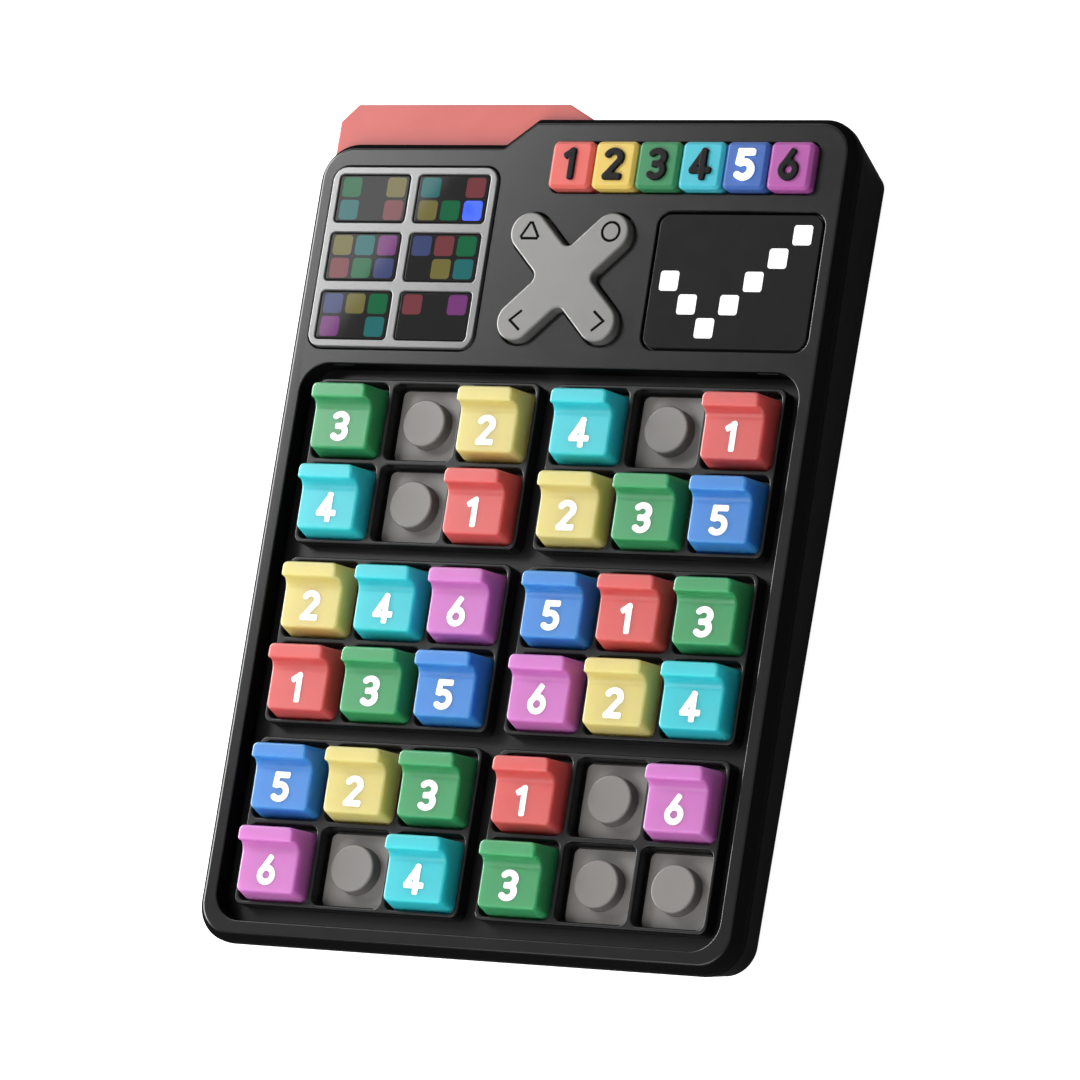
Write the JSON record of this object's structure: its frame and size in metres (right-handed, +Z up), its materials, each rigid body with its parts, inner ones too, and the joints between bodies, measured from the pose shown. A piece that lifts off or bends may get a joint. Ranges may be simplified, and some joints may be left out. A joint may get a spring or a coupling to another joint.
{
  "type": "electronic sudoku board",
  "caption": "Wedge-shaped handheld electronic sudoku game with lift-off coloured number tiles on pegged trays, a number key row, a rocking X pad and lamp displays",
  "frame": {"origin": "centre of the bounding box on the plane that the feet stand on", "axes": "+Z up from the table, +Y towards the panel end with the red tab, +X to the player's right; the face is tilted 4 degrees about X, rising towards +Y"},
  "size_m": [0.1224, 0.1768, 0.0271],
  "materials": {
    "shell": "fine satin texture",
    "accent": "satin",
    "black": "satin",
    "pegs": "soft matte",
    "membrane": "soft matte",
    "circuit": "solder mask",
    "lamp": "clear epoxy",
    "frame": "satin",
    "lens": "polished smoke",
    "pad": "satin",
    "battery": "printed sleeve",
    "steel": "bright plate",
    "speaker": "matt",
    "feet": "soft matte",
    "digit_red": "satin",
    "digit_yellow": "satin",
    "digit_green": "satin",
    "digit_cyan": "satin",
    "digit_blue": "satin",
    "digit_magenta": "satin"
  },
  "bodies": {
    "board": {"front_shell": "shell", "rear_cover": "shell", "accent_tab": "accent", "grid_insert": "black", "cell_trays": "black", "peg_sheet": "pegs", "pegs": "pegs", "main_board": "circuit", "preview_frame": "frame", "preview_lens": "lens", "preview_light_grid": "black", "display_lens": "lens", "display_light_grid": "black", "panel_board": "circuit", "panel_lamps": "lamp", "button_membrane": "membrane", "batteries": "battery", "battery_contacts": "steel", "speaker": "speaker", "case_screws": "steel", "rubber_feet": "feet"},
    "door": {"battery_door": "shell", "door_screw": "steel"},
    "pad_seat": {"pad_pivot": "membrane"},
    "pad": {"direction_pad": "pad"},
    "key_1": {"number_key_1": "digit_red"},
    "key_2": {"number_key_2": "digit_yellow"},
    "key_3": {"number_key_3": "digit_green"},
    "key_4": {"number_key_4": "digit_cyan"},
    "key_5": {"number_key_5": "digit_blue"},
    "key_6": {"number_key_6": "digit_magenta"},
    "tile_row1_col1": {"tile_row1_col1": "digit_green"},
    "tile_row1_col3": {"tile_row1_col3": "digit_yellow"},
    "tile_row1_col4": {"tile_row1_col4": "digit_cyan"},
    "tile_row1_col6": {"tile_row1_col6": "digit_red"},
    "tile_row2_col1": {"tile_row2_col1": "digit_cyan"},
    "tile_row2_col3": {"tile_row2_col3": "digit_red"},
    "tile_row2_col4": {"tile_row2_col4": "digit_yellow"},
    "tile_row2_col5": {"tile_row2_col5": "digit_green"},
    "tile_row2_col6": {"tile_row2_col6": "digit_blue"},
    "tile_row3_col1": {"tile_row3_col1": "digit_yellow"},
    "tile_row3_col2": {"tile_row3_col2": "digit_cyan"},
    "tile_row3_col3": {"tile_row3_col3": "digit_magenta"},
    "tile_row3_col4": {"tile_row3_col4": "digit_blue"},
    "tile_row3_col5": {"tile_row3_col5": "digit_red"},
    "tile_row3_col6": {"tile_row3_col6": "digit_green"},
    "tile_row4_col1": {"tile_row4_col1": "digit_red"},
    "tile_row4_col2": {"tile_row4_col2": "digit_green"},
    "tile_row4_col3": {"tile_row4_col3": "digit_blue"},
    "tile_row4_col4": {"tile_row4_col4": "digit_magenta"},
    "tile_row4_col5": {"tile_row4_col5": "digit_yellow"},
    "tile_row4_col6": {"tile_row4_col6": "digit_cyan"},
    "tile_row5_col1": {"tile_row5_col1": "digit_blue"},
    "tile_row5_col2": {"tile_row5_col2": "digit_yellow"},
    "tile_row5_col3": {"tile_row5_col3": "digit_green"},
    "tile_row5_col4": {"tile_row5_col4": "digit_red"},
    "tile_row5_col6": {"tile_row5_col6": "digit_magenta"},
    "tile_row6_col1": {"tile_row6_col1": "digit_magenta"},
    "tile_row6_col3": {"tile_row6_col3": "digit_cyan"},
    "tile_row6_col4": {"tile_row6_col4": "digit_green"}
  },
  "joints": [
    {"name": "pad_rock_a", "type": "hinge", "parent": "board", "child": "pad_seat", "pos_m": [0.00108, 0.04999, 0.019], "axis": [0.7071, 0.7054, 0.0493], "range_deg": [-2, 2], "stiffness_Nm_per_rad": 0.6},
    {"name": "pad_rock_b", "type": "hinge", "parent": "pad_seat", "child": "pad", "pos_m": [0.00108, 0.04999, 0.019], "axis": [-0.7071, 0.7054, 0.0493], "range_deg": [-2, 2], "stiffness_Nm_per_rad": 0.6},
    {"name": "key_1_press", "type": "slide", "parent": "board", "child": "key_1", "axis": [0, 0.0698, -0.9976], "range_m": [0, 0.0008], "stiffness_N_per_m": 800},
    {"name": "key_2_press", "type": "slide", "parent": "board", "child": "key_2", "axis": [0, 0.0698, -0.9976], "range_m": [0, 0.0008], "stiffness_N_per_m": 800},
    {"name": "key_3_press", "type": "slide", "parent": "board", "child": "key_3", "axis": [0, 0.0698, -0.9976], "range_m": [0, 0.0008], "stiffness_N_per_m": 800},
    {"name": "key_4_press", "type": "slide", "parent": "board", "child": "key_4", "axis": [0, 0.0698, -0.9976], "range_m": [0, 0.0008], "stiffness_N_per_m": 800},
    {"name": "key_5_press", "type": "slide", "parent": "board", "child": "key_5", "axis": [0, 0.0698, -0.9976], "range_m": [0, 0.0008], "stiffness_N_per_m": 800},
    {"name": "key_6_press", "type": "slide", "parent": "board", "child": "key_6", "axis": [0, 0.0698, -0.9976], "range_m": [0, 0.0008], "stiffness_N_per_m": 800},
    {"name": "door_lift", "type": "slide", "parent": "board", "child": "door", "axis": [0, 0, -1], "range_m": [0, 0.02]},
    {"name": "tile_row1_col1_lift", "type": "slide", "parent": "board", "child": "tile_row1_col1", "axis": [0, -0.0698, 0.9976], "range_m": [0, 0.012]},
    {"name": "tile_row1_col3_lift", "type": "slide", "parent": "board", "child": "tile_row1_col3", "axis": [0, -0.0698, 0.9976], "range_m": [0, 0.012]},
    {"name": "tile_row1_col4_lift", "type": "slide", "parent": "board", "child": "tile_row1_col4", "axis": [0, -0.0698, 0.9976], "range_m": [0, 0.012]},
    {"name": "tile_row1_col6_lift", "type": "slide", "parent": "board", "child": "tile_row1_col6", "axis": [0, -0.0698, 0.9976], "range_m": [0, 0.012]},
    {"name": "tile_row2_col1_lift", "type": "slide", "parent": "board", "child": "tile_row2_col1", "axis": [0, -0.0698, 0.9976], "range_m": [0, 0.012]},
    {"name": "tile_row2_col3_lift", "type": "slide", "parent": "board", "child": "tile_row2_col3", "axis": [0, -0.0698, 0.9976], "range_m": [0, 0.012]},
    {"name": "tile_row2_col4_lift", "type": "slide", "parent": "board", "child": "tile_row2_col4", "axis": [0, -0.0698, 0.9976], "range_m": [0, 0.012]},
    {"name": "tile_row2_col5_lift", "type": "slide", "parent": "board", "child": "tile_row2_col5", "axis": [0, -0.0698, 0.9976], "range_m": [0, 0.012]},
    {"name": "tile_row2_col6_lift", "type": "slide", "parent": "board", "child": "tile_row2_col6", "axis": [0, -0.0698, 0.9976], "range_m": [0, 0.012]},
    {"name": "tile_row3_col1_lift", "type": "slide", "parent": "board", "child": "tile_row3_col1", "axis": [0, -0.0698, 0.9976], "range_m": [0, 0.012]},
    {"name": "tile_row3_col2_lift", "type": "slide", "parent": "board", "child": "tile_row3_col2", "axis": [0, -0.0698, 0.9976], "range_m": [0, 0.012]},
    {"name": "tile_row3_col3_lift", "type": "slide", "parent": "board", "child": "tile_row3_col3", "axis": [0, -0.0698, 0.9976], "range_m": [0, 0.012]},
    {"name": "tile_row3_col4_lift", "type": "slide", "parent": "board", "child": "tile_row3_col4", "axis": [0, -0.0698, 0.9976], "range_m": [0, 0.012]},
    {"name": "tile_row3_col5_lift", "type": "slide", "parent": "board", "child": "tile_row3_col5", "axis": [0, -0.0698, 0.9976], "range_m": [0, 0.012]},
    {"name": "tile_row3_col6_lift", "type": "slide", "parent": "board", "child": "tile_row3_col6", "axis": [0, -0.0698, 0.9976], "range_m": [0, 0.012]},
    {"name": "tile_row4_col1_lift", "type": "slide", "parent": "board", "child": "tile_row4_col1", "axis": [0, -0.0698, 0.9976], "range_m": [0, 0.012]},
    {"name": "tile_row4_col2_lift", "type": "slide", "parent": "board", "child": "tile_row4_col2", "axis": [0, -0.0698, 0.9976], "range_m": [0, 0.012]},
    {"name": "tile_row4_col3_lift", "type": "slide", "parent": "board", "child": "tile_row4_col3", "axis": [0, -0.0698, 0.9976], "range_m": [0, 0.012]},
    {"name": "tile_row4_col4_lift", "type": "slide", "parent": "board", "child": "tile_row4_col4", "axis": [0, -0.0698, 0.9976], "range_m": [0, 0.012]},
    {"name": "tile_row4_col5_lift", "type": "slide", "parent": "board", "child": "tile_row4_col5", "axis": [0, -0.0698, 0.9976], "range_m": [0, 0.012]},
    {"name": "tile_row4_col6_lift", "type": "slide", "parent": "board", "child": "tile_row4_col6", "axis": [0, -0.0698, 0.9976], "range_m": [0, 0.012]},
    {"name": "tile_row5_col1_lift", "type": "slide", "parent": "board", "child": "tile_row5_col1", "axis": [0, -0.0698, 0.9976], "range_m": [0, 0.012]},
    {"name": "tile_row5_col2_lift", "type": "slide", "parent": "board", "child": "tile_row5_col2", "axis": [0, -0.0698, 0.9976], "range_m": [0, 0.012]},
    {"name": "tile_row5_col3_lift", "type": "slide", "parent": "board", "child": "tile_row5_col3", "axis": [0, -0.0698, 0.9976], "range_m": [0, 0.012]},
    {"name": "tile_row5_col4_lift", "type": "slide", "parent": "board", "child": "tile_row5_col4", "axis": [0, -0.0698, 0.9976], "range_m": [0, 0.012]},
    {"name": "tile_row5_col6_lift", "type": "slide", "parent": "board", "child": "tile_row5_col6", "axis": [0, -0.0698, 0.9976], "range_m": [0, 0.012]},
    {"name": "tile_row6_col1_lift", "type": "slide", "parent": "board", "child": "tile_row6_col1", "axis": [0, -0.0698, 0.9976], "range_m": [0, 0.012]},
    {"name": "tile_row6_col3_lift", "type": "slide", "parent": "board", "child": "tile_row6_col3", "axis": [0, -0.0698, 0.9976], "range_m": [0, 0.012]},
    {"name": "tile_row6_col4_lift", "type": "slide", "parent": "board", "child": "tile_row6_col4", "axis": [0, -0.0698, 0.9976], "range_m": [0, 0.012]}
  ]
}
